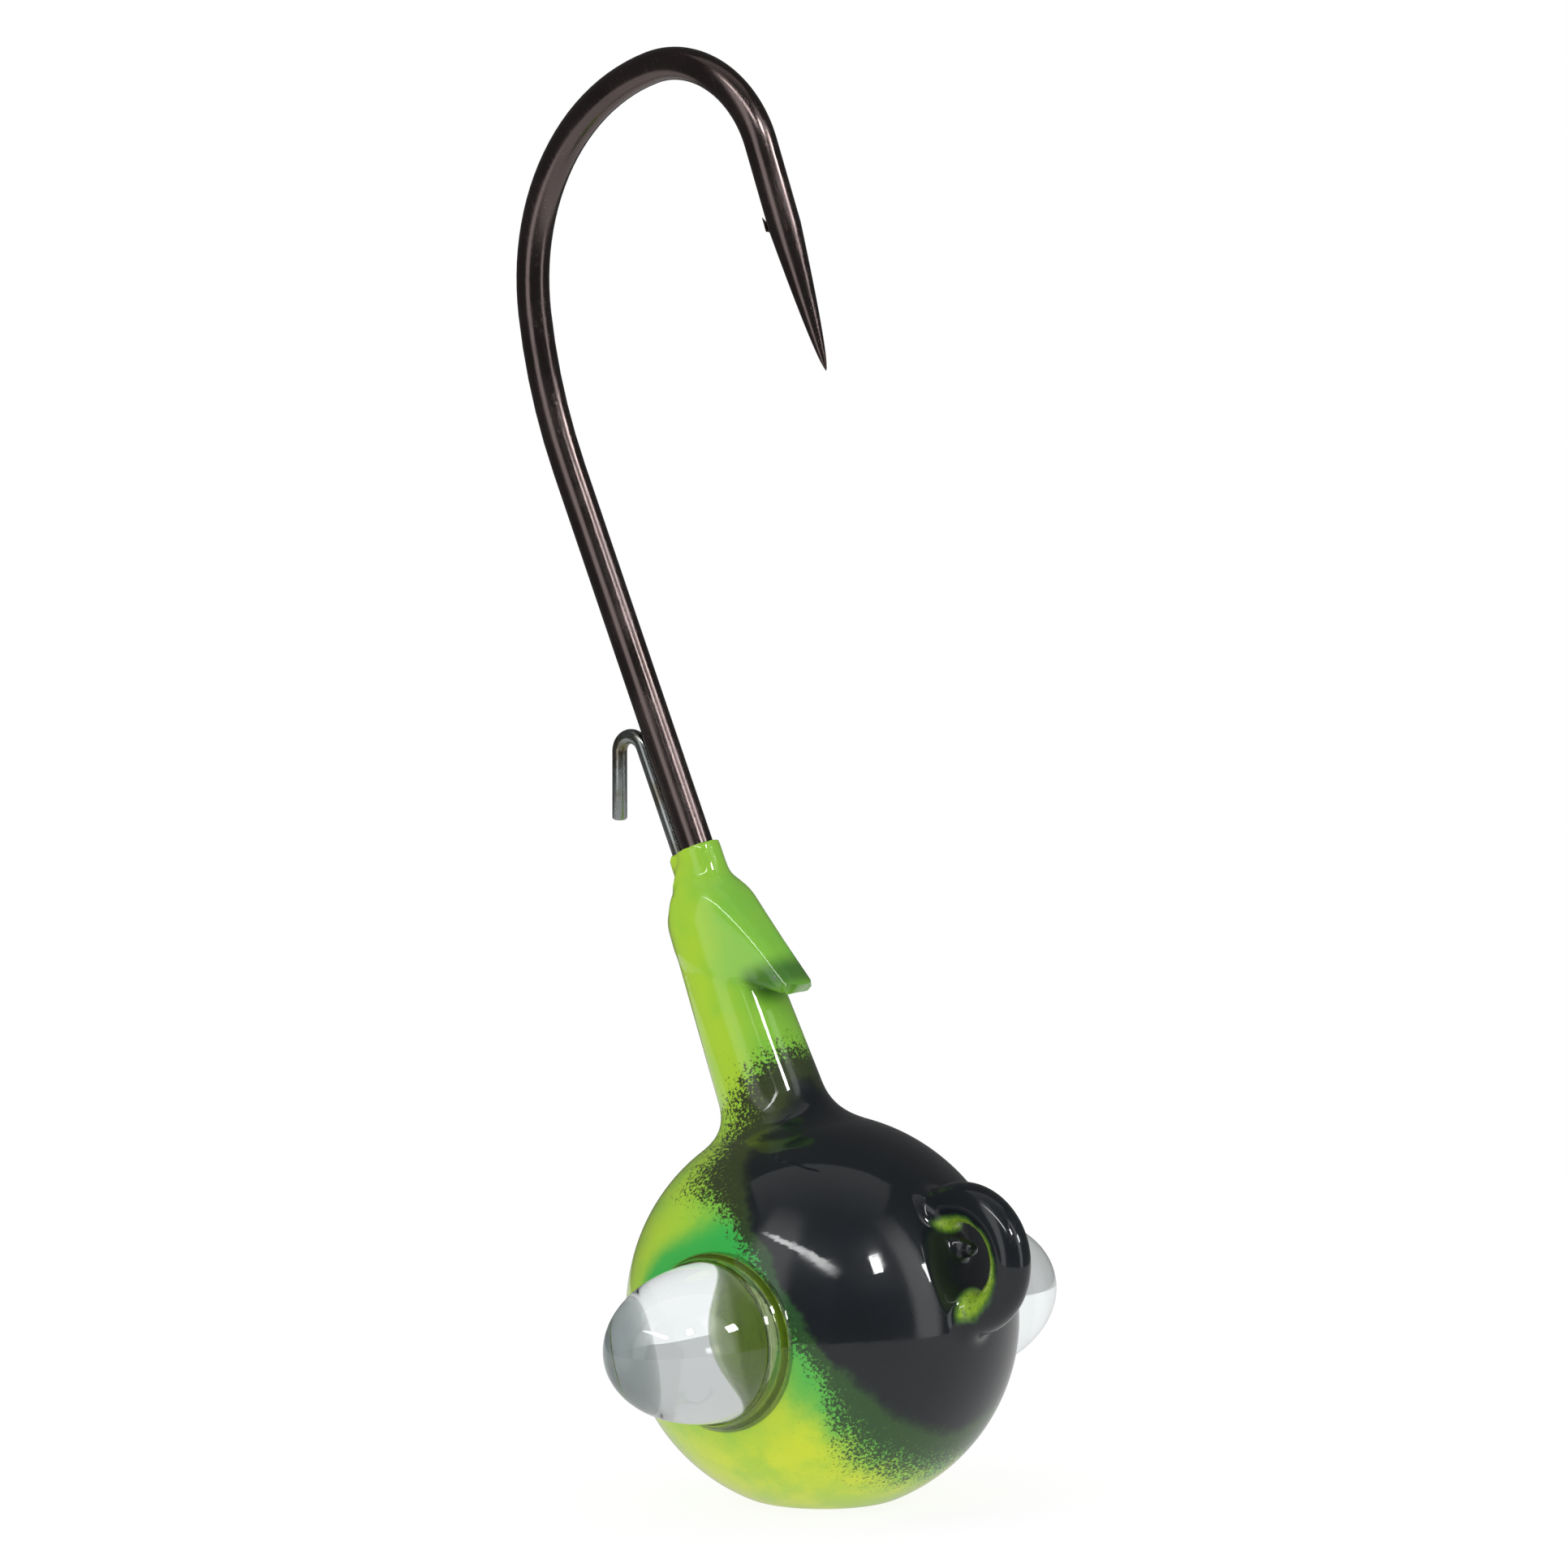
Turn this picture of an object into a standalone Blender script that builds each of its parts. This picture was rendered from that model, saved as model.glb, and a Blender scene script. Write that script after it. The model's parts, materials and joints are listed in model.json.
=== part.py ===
"""Ball-head fishing jig: a lead ball and collar cast round a jig hook and a bait-keeper wire.

The jig stands on the small flat where its casting gate was trimmed, hook up, leaning back a little.
Blender 4.5, metres, +Z up, origin at the centre of that flat. The hook lies in the XZ plane, with
its line eye and its point towards +X, and the two clear eyes look out along -Y and +Y.

Every piece is modelled in the shank's own frame, carried by the empty shank_frame: its origin is the
centre of the ball, its Z runs up the hook's shank and its X points towards the line eye.
"""

from math import asin, cos, pi, radians, sin, sqrt

import bmesh
import bpy
from mathutils import Matrix, Vector

MM = 0.001

# Driving dimensions, in millimetres and degrees
BALL_RADIUS = 6.0  # over the paint
FLAT_RADIUS = 2.0  # trimmed gate on the nose, over the paint
LEAN = 24.6  # the shank leans back from vertical, in the hook's plane
GATE_RADIUS = 1.6  # stub of the casting gate, nipped off level with the flat
GATE_SIDES = 8
GATE_HEIGHT = 0.1  # it stands proud of the bare casting
COAT = 0.13  # thickness of the paint and clear coat
CAST_GAP = 0.03  # air between pieces that touch, so that no two solids overlap

WIRE_RADIUS = 0.515
WIRE_SIDES = 12
SHANK_X = 1.28  # the shank passes above the ball's centre
SHANK_END_Z = 27.17  # where the bend begins
BEND_ARCS = ((17.07, 16.4), (7.45, 77.2), (3.35, 90.0))  # radius and sweep, tangent to each other
SPEAR_LENGTH = 7.26
POINT_TAPER = ((4.4, 1.0), (1.75, 0.66), (1.0, 0.44), (0.5, 0.26), (0.0, 0.04))  # mm from tip, share
ARC_STEP = 6.0
POINT_BARB_HEIGHT = 0.75  # its tip, above the start of the taper
POINT_BARB_STAND = 0.2  # and out from the wire
POINT_BARB_ROOT = (0.3, -0.35)  # its root, above and below the start of the taper
POINT_BARB_SINK = 0.1
POINT_BARB_HALF_WIDTH = 0.16
POINT_BARB_ROUNDING = 0.05

EYELET_RADIUS = 1.75  # to the middle of the wire
EYELET_X = 6.17
EYELET_Z = -0.2
EYELET_SWEEP = 311.0
ELBOW_RADIUS = 1.6
SWAN_RADIUS = 1.2  # the small reverse curve from the leg into the eyelet

KEEPER_RADIUS = 0.23
KEEPER_ROOT_Z = 5.0
KEEPER_CURL_Z = 18.35
KEEPER_CURL_RADIUS = 0.5
KEEPER_CURL_SWEEP = 155.4
KEEPER_LEG = 2.12

COLLAR_X = 0.87
COLLAR_RADIUS = 1.5  # bare lead, at the foot
COLLAR_SHOULDER_RADIUS = 1.19
COLLAR_TOP_RADIUS = 0.5
COLLAR_FOOT_Z = 4.0
COLLAR_SHOULDER_Z = 12.5
COLLAR_TOP_Z = 13.4
NECK_TILT = 7.5  # the fillet's axis runs from the ball's centre through the collar's foot
NECK_FILLET = 1.6
BARB_TIP = (2.99, 10.03)
BARB_CREST = (2.1, 12.35)
BARB_ROOT = (1.2, 11.3)
BARB_HALF_WIDTHS = (0.5, 0.45, 0.85)  # at the tip, crest and root
BARB_ROUNDING = 0.24

SLEEVE_RADIUS = 0.65  # paint that ran up the shank
SLEEVE_FOOT_Z = 12.6
SLEEVE_END_Z = 14.83
KEEPER_SLEEVE_RADIUS = 0.3

EYE_AXIS = (0.24, 0.0, -0.16)  # set a little towards the line eye
SOCKET_RADIUS = 2.62  # inside the paint
SOCKET_FLOOR = 2.4  # from the hook's plane
EYE_RADIUS = 2.48
EYE_SHOULDER = 5.66
EYE_CROWN = 4.2
CEMENT_FOOT = 4.9  # the cement only seals the mouth of the socket
CEMENT_TOP = 5.9
CEMENT_RIM_RADIUS = 2.8

TURN_STEPS = 32
BALL_SEGMENTS = 40
BALL_RINGS = 24


# Scene and materials

def clear_scene():
    for old in list(bpy.data.objects):
        bpy.data.objects.remove(old, do_unlink=True)


def make_collection(name):
    made = bpy.data.collections.new(name)
    bpy.context.scene.collection.children.link(made)
    return made


def make_material(name, colour, roughness, metallic, transmission=0.0):
    made = bpy.data.materials.new(name)
    made.use_nodes = True
    shader = made.node_tree.nodes["Principled BSDF"]
    shader.inputs["Base Color"].default_value = (*colour, 1.0)
    shader.inputs["Roughness"].default_value = roughness
    shader.inputs["Metallic"].default_value = metallic
    shader.inputs["Transmission Weight"].default_value = transmission
    return made


def ball_centre_height():
    return sqrt(BALL_RADIUS**2 - FLAT_RADIUS**2)


def make_shank_frame(collection):
    """The empty that every piece hangs on: at the ball's centre, its Z along the shank."""
    frame = bpy.data.objects.new("shank_frame", None)
    frame.location = (0.0, 0.0, ball_centre_height() * MM)
    frame.rotation_euler = (0.0, -radians(LEAN), 0.0)
    collection.objects.link(frame)
    return frame


def place(obj, collection, frame, location=(0.0, 0.0, 0.0), rotation=(0.0, 0.0, 0.0)):
    """Hangs obj on the shank frame, at a location in millimetres."""
    obj.parent = frame
    obj.location = Vector(location) * MM
    obj.rotation_euler = rotation
    collection.objects.link(obj)
    return obj


def as_cutter(obj):
    obj.hide_render = True
    obj.display_type = "WIRE"
    return obj


def boolean(obj, operation, other):
    modifier = obj.modifiers.new(other.name, "BOOLEAN")
    modifier.operation = operation
    modifier.solver = "EXACT"
    modifier.object = other


def smooth(obj, sharp_degrees=35.0):
    obj.data.shade_smooth()
    obj.data.set_sharp_from_angle(angle=radians(sharp_degrees))


# Shapes

def turned(name, profile, material):
    """A solid of revolution about Z from (radius, z) points that run down its outer side."""
    mesh = bpy.data.meshes.new(name)
    points = [(r * MM, 0.0, z * MM) for r, z in profile]
    mesh.from_pydata(points, [(i, i + 1) for i in range(len(points) - 1)], [])
    mesh.materials.append(material)
    obj = bpy.data.objects.new(name, mesh)
    screw = obj.modifiers.new("turn", "SCREW")
    screw.steps = TURN_STEPS
    screw.render_steps = TURN_STEPS
    screw.use_merge_vertices = True
    screw.merge_threshold = 0.00001
    screw.use_smooth_shade = True
    return obj


def ball(name, radius, material):
    """A sphere whose poles lie on the eyes' axis, where the sockets cut them away."""
    mesh = bpy.data.meshes.new(name)
    form = bmesh.new()
    bmesh.ops.create_uvsphere(
        form, u_segments=BALL_SEGMENTS, v_segments=BALL_RINGS, radius=radius * MM
    )
    form.to_mesh(mesh)
    form.free()
    mesh.materials.append(material)
    mesh.shade_smooth()
    return bpy.data.objects.new(name, mesh)


def rounded_hull(name, centres, radius, material):
    """The hull of equal small balls: a wedge with every edge rounded."""
    mesh = bpy.data.meshes.new(name)
    form = bmesh.new()
    for centre in centres:
        made = bmesh.ops.create_icosphere(form, subdivisions=2, radius=radius * MM)
        bmesh.ops.translate(form, verts=made["verts"], vec=Vector(centre) * MM)
    bmesh.ops.delete(form, geom=form.faces[:], context="FACES_ONLY")
    bmesh.ops.delete(form, geom=form.edges[:], context="EDGES_FACES")
    hull = bmesh.ops.convex_hull(form, input=form.verts[:])
    inner = [v for v in hull["geom_interior"] if isinstance(v, bmesh.types.BMVert)]
    bmesh.ops.delete(form, geom=inner, context="VERTS")
    bmesh.ops.recalc_face_normals(form, faces=form.faces[:])
    form.to_mesh(mesh)
    form.free()
    mesh.materials.append(material)
    return bpy.data.objects.new(name, mesh)


def wire(name, path, radius, material, shares=None):
    """A round wire along (x, z) points in the hook's plane, made a mesh with welded ends."""
    curve = bpy.data.curves.new(name, "CURVE")
    curve.dimensions = "3D"
    curve.bevel_depth = radius * MM
    curve.bevel_resolution = WIRE_SIDES // 2 - 2
    curve.use_fill_caps = True
    spline = curve.splines.new("POLY")
    spline.points.add(len(path) - 1)
    for i, (x, z) in enumerate(path):
        spline.points[i].co = (x * MM, 0.0, z * MM, 1.0)
        spline.points[i].radius = shares[i] if shares else 1.0
    guide = bpy.data.objects.new(name + "_guide", curve)
    bpy.context.scene.collection.objects.link(guide)
    graph = bpy.context.evaluated_depsgraph_get()
    mesh = bpy.data.meshes.new_from_object(guide.evaluated_get(graph))
    form = bmesh.new()
    form.from_mesh(mesh)
    bmesh.ops.remove_doubles(form, verts=form.verts[:], dist=0.000001)
    bmesh.ops.recalc_face_normals(form, faces=form.faces[:])
    form.to_mesh(mesh)
    form.free()
    bpy.data.objects.remove(guide)
    mesh.materials.clear()
    mesh.materials.append(material)
    return bpy.data.objects.new(name, mesh)


def arc(centre, radius, start, sweep):
    """Points on an arc in the hook's plane, its first point left out. Angles in degrees from +X."""
    steps = max(3, round(abs(sweep) / ARC_STEP))
    angles = [radians(start + sweep * i / steps) for i in range(1, steps + 1)]
    return [(centre[0] + radius * cos(a), centre[1] + radius * sin(a)) for a in angles]


# The hook: eyelet, leg, elbow, shank, bend and spear, all one wire

def eyelet_path():
    """From the wire's free end, round the eyelet and through a small reverse curve into the leg."""
    run = sqrt(EYELET_RADIUS**2 + 2 * SWAN_RADIUS * EYELET_RADIUS)
    meeting = asin(SWAN_RADIUS / (SWAN_RADIUS + EYELET_RADIUS)) * 180 / pi
    joins_at = 180 - meeting
    free_end = joins_at - EYELET_SWEEP
    start = radians(free_end)
    first = (EYELET_X + EYELET_RADIUS * cos(start), EYELET_Z + EYELET_RADIUS * sin(start))
    loop = arc((EYELET_X, EYELET_Z), EYELET_RADIUS, free_end, EYELET_SWEEP)
    swan = arc((EYELET_X - run, EYELET_Z + SWAN_RADIUS), SWAN_RADIUS, -meeting, meeting - 90)
    return [first, *loop, *swan]


def elbow_path():
    """The right-angle bend inside the ball, from the leg up into the shank."""
    middle = (SHANK_X + ELBOW_RADIUS, EYELET_Z + ELBOW_RADIUS)
    return [(middle[0], EYELET_Z), *arc(middle, ELBOW_RADIUS, -90, -90)]


def bend_path():
    """Arcs tangent to the shank and to each other, then the straight spear down to the point."""
    x, z, heading = SHANK_X, SHANK_END_Z, 0.0
    points = [(x, z)]
    for radius, sweep in BEND_ARCS:
        centre = (x + radius * cos(radians(heading)), z - radius * sin(radians(heading)))
        points += arc(centre, radius, 180 - heading, -sweep)
        x, z = points[-1]
        heading += sweep
    along = (sin(radians(heading)), cos(radians(heading)))
    tip = (x + SPEAR_LENGTH * along[0], z + SPEAR_LENGTH * along[1])
    spear = [(tip[0] - d * along[0], tip[1] - d * along[1]) for d, _ in POINT_TAPER]
    return points, spear


def make_hook(collection, cutters, frame, material):
    cast_in = eyelet_path() + elbow_path()
    bend, spear = bend_path()
    path = cast_in + bend + spear
    shares = [1.0] * (len(cast_in) + len(bend)) + [share for _, share in POINT_TAPER]
    hook = place(wire("hook", path, WIRE_RADIUS, material, shares), collection, frame)
    barb_x, barb_z = spear[0]
    inner = barb_x - WIRE_RADIUS
    splinter = rounded_hull(
        "point_barb_form",
        [(inner - POINT_BARB_STAND, 0.0, barb_z + POINT_BARB_HEIGHT)]
        + [
            (inner + POINT_BARB_SINK, y, barb_z + z)
            for y in (-POINT_BARB_HALF_WIDTH, POINT_BARB_HALF_WIDTH)
            for z in POINT_BARB_ROOT
        ],
        POINT_BARB_ROUNDING,
        material,
    )
    boolean(hook, "UNION", as_cutter(place(splinter, cutters, frame)))
    return hook, cast_in + bend


def keeper_x():
    """The keeper wire lies along the shank, on the side away from the point."""
    return SHANK_X - WIRE_RADIUS - KEEPER_RADIUS - CAST_GAP


def keeper_path():
    """Up the shank, then curled back into a barb that a soft bait can't slide past."""
    x = keeper_x()
    curl = arc((x - KEEPER_CURL_RADIUS, KEEPER_CURL_Z), KEEPER_CURL_RADIUS, 0, KEEPER_CURL_SWEEP)
    turn = radians(KEEPER_CURL_SWEEP)
    end = (curl[-1][0] - KEEPER_LEG * sin(turn), curl[-1][1] + KEEPER_LEG * cos(turn))
    return [(x, KEEPER_ROOT_Z), (x, KEEPER_CURL_Z), *curl, end]


# The casting and the paint share one form, grown by a wall's thickness

def collar_profile(grow):
    """The collar's outer side from its top down: end face, round shoulder and tapered tube."""
    shoulder = COLLAR_SHOULDER_RADIUS - COLLAR_TOP_RADIUS
    height = COLLAR_TOP_Z - COLLAR_SHOULDER_Z
    top = [
        (
            COLLAR_TOP_RADIUS + shoulder * sin(radians(a)) + grow,
            COLLAR_SHOULDER_Z + height * cos(radians(a)) + grow,
        )
        for a in (0, 22.5, 45, 67.5, 90)
    ]
    return [
        (0.0, COLLAR_TOP_Z + grow),
        *top,
        (COLLAR_RADIUS + grow, BALL_RADIUS),
        (COLLAR_RADIUS + grow, COLLAR_FOOT_Z),
        (0.0, COLLAR_FOOT_Z),
    ]


def neck_profile(grow):
    """The fillet between tube and ball, tangent to both."""
    radius = NECK_FILLET - grow
    tube = COLLAR_RADIUS - 0.04 + grow
    middle = tube + radius
    reach = BALL_RADIUS - COAT + grow + radius
    height = sqrt(reach**2 - middle**2)
    sweep = 90 - asin(middle / reach) * 180 / pi
    steps = 6
    curve = [
        (
            middle - radius * cos(radians(sweep * i / steps)),
            height - radius * sin(radians(sweep * i / steps)),
        )
        for i in range(steps + 1)
    ]
    return [(0.0, height), *curve, (curve[-1][0], COLLAR_FOOT_Z), (0.0, COLLAR_FOOT_Z)]


def head_form(name, grow, collection, cutters, frame, material):
    """Ball, neck, collar and bait-keeper barb as one shape, grown all over by grow."""
    form = ball(name, BALL_RADIUS - COAT + grow, material)
    place(form, collection, frame, rotation=(pi / 2, 0.0, 0.0))
    neck = turned(name + "_neck", neck_profile(grow), material)
    place(neck, cutters, frame, rotation=(0.0, radians(NECK_TILT), 0.0))
    collar = turned(name + "_collar", collar_profile(grow), material)
    place(collar, cutters, frame, (COLLAR_X, 0.0, 0.0))
    centres = [
        (x, side * half_width, z)
        for (x, z), half_width in zip((BARB_TIP, BARB_CREST, BARB_ROOT), BARB_HALF_WIDTHS)
        for side in (-1, 1)
    ]
    barb = rounded_hull(name + "_barb", centres, BARB_ROUNDING + grow, material)
    place(barb, cutters, frame)
    for extra in (neck, collar, barb):
        boolean(form, "UNION", as_cutter(extra))
    return form


def sockets(name, wall, cutters, frame, material):
    """Two plain cylinders on the eyes' axis, wall wider and deeper than the painted sockets."""
    depth = BALL_RADIUS - SOCKET_FLOOR + 2.0
    made = []
    for side, turn in (("left", pi / 2), ("right", -pi / 2)):
        mesh = bpy.data.meshes.new(f"{name}_{side}")
        form = bmesh.new()
        bmesh.ops.create_cone(
            form,
            cap_ends=True,
            segments=TURN_STEPS,
            radius1=(SOCKET_RADIUS + wall) * MM,
            radius2=(SOCKET_RADIUS + wall) * MM,
            depth=depth * MM,
        )
        lift = SOCKET_FLOOR - wall + depth / 2
        bmesh.ops.translate(form, verts=form.verts[:], vec=(0.0, 0.0, lift * MM))
        form.to_mesh(mesh)
        form.free()
        mesh.materials.append(material)
        cutter = bpy.data.objects.new(f"{name}_{side}", mesh)
        place(cutter, cutters, frame, EYE_AXIS, (turn, 0.0, 0.0))
        made.append(as_cutter(cutter))
    return made


def prism(name, sides, radius, top, cutters, material):
    """An upright prism about the world's Z, 2 radius tall, with one side square to +X."""
    mesh = bpy.data.meshes.new(name)
    form = bmesh.new()
    bmesh.ops.create_cone(
        form,
        cap_ends=True,
        segments=sides,
        radius1=radius * MM,
        radius2=radius * MM,
        depth=2 * radius * MM,
    )
    turn = Matrix.Rotation(pi / sides, 3, "Z")
    bmesh.ops.rotate(form, verts=form.verts[:], matrix=turn)
    bmesh.ops.translate(form, verts=form.verts[:], vec=(0.0, 0.0, (top - radius) * MM))
    form.to_mesh(mesh)
    form.free()
    mesh.materials.append(material)
    made = bpy.data.objects.new(name, mesh)
    cutters.objects.link(made)
    return as_cutter(made)


def make_head(collection, cutters, frame, lead, paint, hook_path):
    """The lead casting, and the coat that covers it, the eyelet and the root of the shank."""
    hook_bed = wire("hook_bed", hook_path, WIRE_RADIUS + CAST_GAP, lead)
    keeper_bed = wire("keeper_bed", keeper_path(), KEEPER_RADIUS + CAST_GAP, lead)
    beds = [as_cutter(place(bed, cutters, frame)) for bed in (hook_bed, keeper_bed)]
    casting_trim = prism("casting_trim", 4, 2 * FLAT_RADIUS, GATE_HEIGHT, cutters, lead)
    gate = prism("gate", GATE_SIDES, GATE_RADIUS, 2 * GATE_RADIUS, cutters, lead)
    coat_trim = prism("coat_trim", 4, 2 * FLAT_RADIUS, 0.0, cutters, lead)

    casting = head_form("lead_casting", 0.0, collection, cutters, frame, lead)
    for cutter in sockets("casting_socket", COAT, cutters, frame, lead) + beds + [casting_trim]:
        boolean(casting, "DIFFERENCE", cutter)
    boolean(casting, "UNION", gate)

    core = as_cutter(head_form("coat_core", CAST_GAP, cutters, cutters, frame, lead))
    for cutter in sockets("core_socket", COAT - CAST_GAP, cutters, frame, lead):
        boolean(core, "DIFFERENCE", cutter)

    coat = head_form("paint_coat", COAT, collection, cutters, frame, paint)
    eyelet = wire("coated_eyelet", eyelet_path(), WIRE_RADIUS + COAT, paint)
    run_up = [(SHANK_X, SLEEVE_FOOT_Z), (SHANK_X, SLEEVE_END_Z)]
    sleeve = wire("shank_sleeve", run_up, SLEEVE_RADIUS, paint)
    beside = [(keeper_x(), SLEEVE_FOOT_Z), (keeper_x(), SLEEVE_END_Z - 0.1)]
    keeper_sleeve = wire("keeper_sleeve", beside, KEEPER_SLEEVE_RADIUS, paint)
    for extra in (eyelet, sleeve, keeper_sleeve):
        boolean(coat, "UNION", as_cutter(place(extra, cutters, frame)))
    boolean(coat, "DIFFERENCE", core)
    for cutter in sockets("coat_socket", 0.0, cutters, frame, paint) + beds + [coat_trim]:
        boolean(coat, "DIFFERENCE", cutter)
    return casting, coat


# The clear eyes and the cement that holds them

def eye_profile():
    """A clear plug with a tall domed crown, as (radius, distance from the hook's plane)."""
    seat = SOCKET_FLOOR + CAST_GAP
    crown = [
        (EYE_RADIUS * sin(radians(a)), EYE_SHOULDER + EYE_CROWN * cos(radians(a)))
        for a in range(0, 91, 10)
    ]
    foot = [(EYE_RADIUS, seat + 0.15), (EYE_RADIUS - 0.15, seat), (0.0, seat)]
    return [*crown, *foot]


def cement_seal_profile():
    """The ring of cement between the plug and the mouth of its socket."""
    inner = EYE_RADIUS + CAST_GAP
    outer = SOCKET_RADIUS - CAST_GAP
    return [
        (inner, CEMENT_TOP),
        (inner + 0.03, CEMENT_TOP),
        (outer, CEMENT_TOP - 0.15),
        (outer, CEMENT_FOOT),
        (inner, CEMENT_FOOT),
        (inner, CEMENT_TOP),
    ]


def cement_bead_profile():
    """The bead left on the rim, cut off below by the ball's surface."""
    inner = (EYE_RADIUS + SOCKET_RADIUS) / 2
    low = BALL_RADIUS - 1.2
    return [
        (inner, CEMENT_TOP - 0.05),
        (inner + 0.09, CEMENT_TOP - 0.2),
        (CEMENT_RIM_RADIUS - 0.05, BALL_RADIUS - 0.5),
        (CEMENT_RIM_RADIUS, BALL_RADIUS - 0.64),
        (CEMENT_RIM_RADIUS, low),
        (inner, low),
        (inner, CEMENT_TOP - 0.05),
    ]


def make_eyes(collection, cutters, frame, clear, cement):
    beneath = ball("bead_trim", BALL_RADIUS + CAST_GAP, cement)
    as_cutter(place(beneath, cutters, frame, rotation=(pi / 2, 0.0, 0.0)))
    for side, turn in (("left", pi / 2), ("right", -pi / 2)):
        facing = (turn, 0.0, 0.0)
        eye = turned(f"eye_{side}", eye_profile(), clear)
        place(eye, collection, frame, EYE_AXIS, facing)
        bed = turned(f"eye_cement_{side}", cement_bead_profile(), cement)
        place(bed, collection, frame, EYE_AXIS, facing)
        boolean(bed, "DIFFERENCE", beneath)
        seal = turned(f"cement_seal_{side}", cement_seal_profile(), cement)
        boolean(bed, "UNION", as_cutter(place(seal, cutters, frame, EYE_AXIS, facing)))


def main():
    clear_scene()
    collection = make_collection("jig_head")
    cutters = make_collection("cutters")
    frame = make_shank_frame(collection)
    nickel = make_material("black_nickel_steel", (0.035, 0.028, 0.028), 0.22, 1.0)
    tinned = make_material("tinned_wire", (0.42, 0.44, 0.44), 0.3, 1.0)
    lead = make_material("cast_lead", (0.16, 0.17, 0.18), 0.55, 1.0)
    paint = make_material("lime_paint", (0.38, 0.66, 0.03), 0.1, 0.0)
    clear = make_material("clear_acrylic", (0.95, 0.98, 0.98), 0.02, 0.0, 1.0)
    cement = make_material("clear_cement", (0.88, 0.95, 0.8), 0.05, 0.0, 1.0)

    hook, cast_in_path = make_hook(collection, cutters, frame, nickel)
    keeper = wire("keeper_wire", keeper_path(), KEEPER_RADIUS, tinned)
    place(keeper, collection, frame)
    make_head(collection, cutters, frame, lead, paint, cast_in_path)
    make_eyes(collection, cutters, frame, clear, cement)
    for obj in (hook, keeper):
        smooth(obj)


main()
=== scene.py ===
# %% [markdown]
# # A ball-head fishing jig
#
# A jig is cast in one shot: molten lead fills a ball-and-collar mould round a bent hook and a thin
# keeper wire. The casting is dipped in lime paint, a dark cap is airbrushed over its back and its line
# eye, two clear domes are cemented into its eye sockets, and clear gloss goes over the lot. The packed
# CAD model is loaded first, as a fixed frame. Each piece is then made again at a finer scale, in the
# same place, and given its finish.

# %% Load the frame
import json

from math import asin, cos, degrees, pi, radians, sin, sqrt

import bmesh
import bpy
import numpy as np
from mathutils import Matrix, Vector


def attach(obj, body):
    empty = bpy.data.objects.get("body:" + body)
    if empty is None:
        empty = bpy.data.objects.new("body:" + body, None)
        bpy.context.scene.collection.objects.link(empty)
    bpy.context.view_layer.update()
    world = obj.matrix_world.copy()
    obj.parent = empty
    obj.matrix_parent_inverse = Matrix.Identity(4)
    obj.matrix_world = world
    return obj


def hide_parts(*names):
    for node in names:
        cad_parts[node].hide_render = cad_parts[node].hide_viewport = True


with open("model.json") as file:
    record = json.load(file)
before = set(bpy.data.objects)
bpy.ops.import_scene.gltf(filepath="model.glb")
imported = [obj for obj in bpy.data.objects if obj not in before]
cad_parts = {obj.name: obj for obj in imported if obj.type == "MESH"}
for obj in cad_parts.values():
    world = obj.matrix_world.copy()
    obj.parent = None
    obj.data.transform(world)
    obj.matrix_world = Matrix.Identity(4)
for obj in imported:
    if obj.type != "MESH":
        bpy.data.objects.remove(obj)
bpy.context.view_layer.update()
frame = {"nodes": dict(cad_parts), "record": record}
mounts = {mount["name"]: mount for mount in frame["record"]["mounts"]}

# %% [markdown]
# ## One frame for every piece
#
# The jig was designed round the shank of its hook, so it is drawn that way here. In the shank's frame
# the ball's centre is the origin, Z runs up the shank, X points towards the line eye and Y across the
# hook, and the unit is the millimetre. The shank's direction is the axis on which a bait slides, and the
# line eye's place is that of its mount, so both come from the record. A finished mesh is carried into
# the world at the end, so its object stays at the origin, unturned and unscaled.

# %% The shank's frame
MM = 0.001
ball_radius = 6.0
flat_radius = 2.0
shank_way = Vector(mounts["bait_seat"]["axis"]).normalized()
lean = asin(-shank_way.x)
ball_height = sqrt(ball_radius**2 - flat_radius**2)
to_world = (
    Matrix.Scale(MM, 4)
    @ Matrix.Translation((0, 0, ball_height))
    @ Matrix.Rotation(-lean, 4, "Y")
)
to_shank = to_world.inverted()
eyelet = to_shank @ Vector(mounts["line_tie"]["pos_m"])
print(f"lean {degrees(lean):.1f} deg, line eye at {eyelet.x:.2f}, {eyelet.z:.2f} mm")

# %% [markdown]
# ## From a bmesh to a piece
#
# A bmesh is Blender's editable mesh: operators extrude, spin and bevel it, and it becomes an object
# only at the end. This helper does that end work in one place. It merges doubled points, turns every
# face outwards, carries the form into the world, shades it smooth except across sharp edges, ties
# the piece to the jig's one body and hides the CAD nodes it stands for.

# %% Make a piece
def to_object(name, form, merge=1e-4):
    bmesh.ops.remove_doubles(form, verts=form.verts[:], dist=merge)
    bmesh.ops.recalc_face_normals(form, faces=form.faces[:])
    mesh = bpy.data.meshes.new(name)
    form.to_mesh(mesh)
    form.free()
    obj = bpy.data.objects.new(name, mesh)
    bpy.context.scene.collection.objects.link(obj)
    return obj


def applied(obj):
    """A plain mesh of obj with its modifiers applied, in place of obj."""
    graph = bpy.context.evaluated_depsgraph_get()
    mesh = bpy.data.meshes.new_from_object(obj.evaluated_get(graph))
    old = obj.data
    obj.modifiers.clear()
    obj.data = mesh
    bpy.data.meshes.remove(old)
    return obj


def finish(obj, material, slot, *nodes, sharp=40):
    obj.data.transform(to_world)
    obj.data.materials.clear()
    obj.data.materials.append(material)
    obj.data.shade_smooth()
    obj.data.set_sharp_from_angle(angle=radians(sharp))
    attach(obj, "root")
    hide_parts(*nodes)
    print(f"{obj.name}: {len(obj.data.polygons)} faces")
    return obj


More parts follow.
